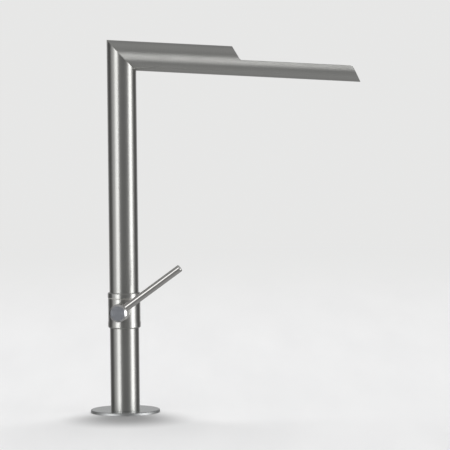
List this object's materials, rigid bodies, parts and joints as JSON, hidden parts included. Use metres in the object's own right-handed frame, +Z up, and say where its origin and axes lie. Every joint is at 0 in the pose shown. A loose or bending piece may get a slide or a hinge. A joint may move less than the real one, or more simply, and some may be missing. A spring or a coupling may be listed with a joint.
{
  "type": "fountain tap",
  "caption": "Tall swivel tap of round brushed tube with a mitred corner, an open channel spout and a rod lever on a side hub.",
  "frame": {"origin": "centre of the base disc's underside, on the surface that the tap stands on", "axes": "+Z up along the column, +X along the spout, the lever's hub towards -Y"},
  "size_m": [0.299, 0.0828, 0.409],
  "materials": {
    "brushed_tube": "brushed along the tube",
    "turned_steel": "turned and brushed round",
    "bright_steel": "fine brushed, near polished",
    "brass": "turned",
    "copper_pipe": "drawn",
    "rubber": "moulded",
    "nylon": "moulded",
    "ceramic": "lapped",
    "set_screw": "machined"
  },
  "bodies": {
    "tap_body": {"base_flange": "bright_steel", "base_seal": "rubber", "foot_plug": "brass", "riser_pipe": "brass", "lower_column": "brushed_tube", "valve_body": "turned_steel", "thrust_washer": "nylon", "spigot_oring_lower": "rubber", "spigot_oring_upper": "rubber", "headwork_body": "brass", "headwork_oring": "rubber", "seat_seal": "rubber", "fixed_disc": "ceramic", "hub_washer": "nylon"},
    "lever": {"spindle": "brass", "spindle_oring_inner": "rubber", "spindle_oring_outer": "rubber", "spindle_clip": "set_screw", "moving_disc": "ceramic", "hub": "turned_steel", "hub_screw": "set_screw", "lever_rod": "bright_steel"},
    "spout_arm": {"swivel_ring": "turned_steel", "swivel_sleeve": "brass", "retaining_screw": "set_screw", "upper_column": "brushed_tube", "spout": "brushed_tube", "water_pipe": "copper_pipe", "water_elbow": "copper_pipe", "spout_pipe": "copper_pipe", "flow_straightener": "nylon", "pipe_seal": "rubber"}
  },
  "joints": [
    {"name": "spout_swivel", "type": "hinge", "parent": "tap_body", "child": "spout_arm", "pos_m": [0, 0, 0.1265], "axis": [0, 0, 1], "range_deg": [-90, 90]},
    {"name": "lever_turn", "type": "hinge", "parent": "tap_body", "child": "lever", "pos_m": [0, 0, 0.112], "axis": [-0.165, -0.9863, 0], "range_deg": [-36, 54]}
  ]
}
